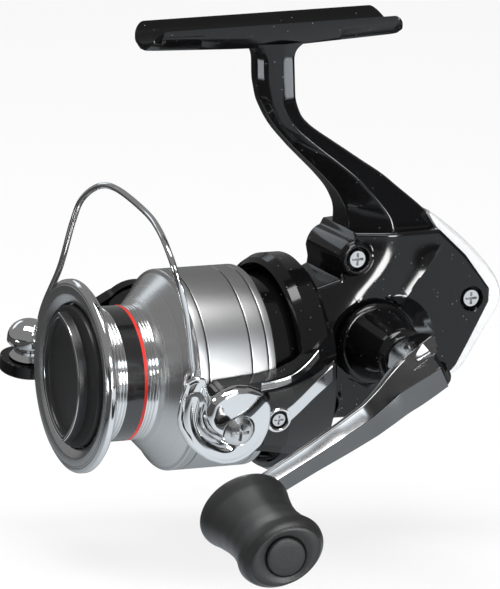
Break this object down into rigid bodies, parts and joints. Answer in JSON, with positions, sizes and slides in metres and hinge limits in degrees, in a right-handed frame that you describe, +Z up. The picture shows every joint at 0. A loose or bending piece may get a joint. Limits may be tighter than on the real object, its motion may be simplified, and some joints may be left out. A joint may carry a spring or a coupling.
{
  "type": "spinning reel",
  "caption": "Spinning fishing reel: stemmed foot, geared housing, rotor with wire bail, skirted spool with front drag knob, and a folding crank with an oval grip.",
  "frame": {"origin": "middle of the rod seat, on the axis of the rod that lies on the foot", "axes": "+X towards the rod tip, +Y to the handle side, +Z up, away from the spool"},
  "size_m": [0.1171, 0.124, 0.1152],
  "materials": {
    "gloss_black": "gloss black with fine pale flakes",
    "guard_silver": "pale silver satin",
    "spool_silver": "turned satin aluminium with dark bands",
    "knob_black": "black with a silver-lined oval",
    "chrome": "polished",
    "steel": "bright",
    "brass": "machined",
    "white_plastic": "plain",
    "felt": "pressed felt",
    "gunmetal": "satin gunmetal",
    "soft_black": "matte with fine grain"
  },
  "bodies": {
    "frame": {"body": "gloss_black", "side_cover": "gloss_black", "rear_guard": "guard_silver", "guard_screw": "steel", "body_screws": "steel", "drive_bushes": "brass", "pinion_bearing": "steel", "pinion_bush": "brass", "clutch_housing": "steel", "clutch_rollers": "steel", "clutch_retainer": "steel", "retainer_screws": "steel", "guide_rail": "steel"},
    "crank": {"drive_gear": "brass", "handle_boss": "gloss_black", "handle_cap": "gloss_black"},
    "arm": {"handle_arm": "gunmetal", "fold_pin": "steel", "knob_shank": "steel"},
    "knob": {"knob": "soft_black", "knob_bush": "white_plastic", "knob_cap": "soft_black"},
    "oscillator": {"oscillation_gear": "white_plastic"},
    "rotor": {"rotor": "gloss_black", "pinion": "brass", "clutch_sleeve": "steel", "rotor_nut": "steel", "nut_lock": "steel", "nut_lock_screw": "steel", "arm_cover": "gloss_black", "lever_cover": "gloss_black", "arm_cover_screws": "steel", "bail_spring": "steel", "kick_lever": "steel", "bail_screw": "steel", "lever_screw": "steel"},
    "bail": {"bail_holder": "chrome", "bail_wire": "chrome", "wire_cone": "chrome", "arm_lever": "gloss_black", "roller_bush": "white_plastic", "roller_screw": "steel"},
    "roller": {"line_roller": "brass"},
    "shaft": {"main_shaft": "steel", "slider": "brass", "slider_screw": "steel", "spool_support": "steel", "support_pin": "steel", "spool_washer": "white_plastic", "click_pawl": "steel", "drag_plates": "steel"},
    "spool": {"spool": "spool_silver", "click_ratchet": "brass", "drag_felts": "felt", "drag_ear_plate": "steel", "drag_clip": "steel"},
    "drag_knob": {"drag_knob": "knob_black", "drag_nut": "brass", "drag_spring": "steel"},
    "stopper": {"stopper_lever": "gloss_black"}
  },
  "joints": [
    {"name": "handle_turn", "type": "hinge", "parent": "frame", "child": "crank", "pos_m": [-0.0275, 0, -0.0805], "axis": [0, 1, 0], "continuous": true},
    {"name": "handle_fold", "type": "hinge", "parent": "crank", "child": "arm", "pos_m": [-0.0275, 0.038, -0.0805], "axis": [0.4726, 0, 0.8813], "range_deg": [0, 90]},
    {"name": "knob_spin", "type": "hinge", "parent": "arm", "child": "knob", "pos_m": [0.02309, 0.0484, -0.10762], "axis": [0.1227, 0.9903, -0.0658], "continuous": true},
    {"name": "oscillator_spin", "type": "hinge", "parent": "frame", "child": "oscillator", "pos_m": [-0.0419, 0, -0.0805], "axis": [0, 1, 0], "continuous": true},
    {"name": "rotor_spin", "type": "hinge", "parent": "frame", "child": "rotor", "pos_m": [0.0057, 0, -0.087], "axis": [1, 0, 0], "continuous": true},
    {"name": "bail_swing", "type": "hinge", "parent": "rotor", "child": "bail", "pos_m": [0.0167, 0, -0.087], "axis": [0, 0.9781, -0.2079], "range_deg": [0, 92]},
    {"name": "roller_spin", "type": "hinge", "parent": "bail", "child": "roller", "pos_m": [0.0433, -0.03084, -0.08781], "axis": [0, 0.2079, 0.9781], "continuous": true},
    {"name": "spool_travel", "type": "slide", "parent": "frame", "child": "shaft", "axis": [1, 0, 0], "range_m": [-0.002, 0.01]},
    {"name": "spool_spin", "type": "hinge", "parent": "shaft", "child": "spool", "pos_m": [0.0257, 0, -0.087], "axis": [1, 0, 0], "continuous": true},
    {"name": "drag_turn", "type": "hinge", "parent": "shaft", "child": "drag_knob", "pos_m": [0.0457, 0, -0.087], "axis": [1, 0, 0], "range_deg": [-540, 540]},
    {"name": "stopper_flip", "type": "hinge", "parent": "frame", "child": "stopper", "pos_m": [-0.0368, -0.0025, -0.0976], "axis": [0, 1, 0], "range_deg": [-8, 8]}
  ],
  "couplings": [
    {"joint": "rotor_spin", "follows": "handle_turn", "ratio": -4.6},
    {"joint": "oscillator_spin", "follows": "handle_turn", "ratio": -0.5}
  ]
}
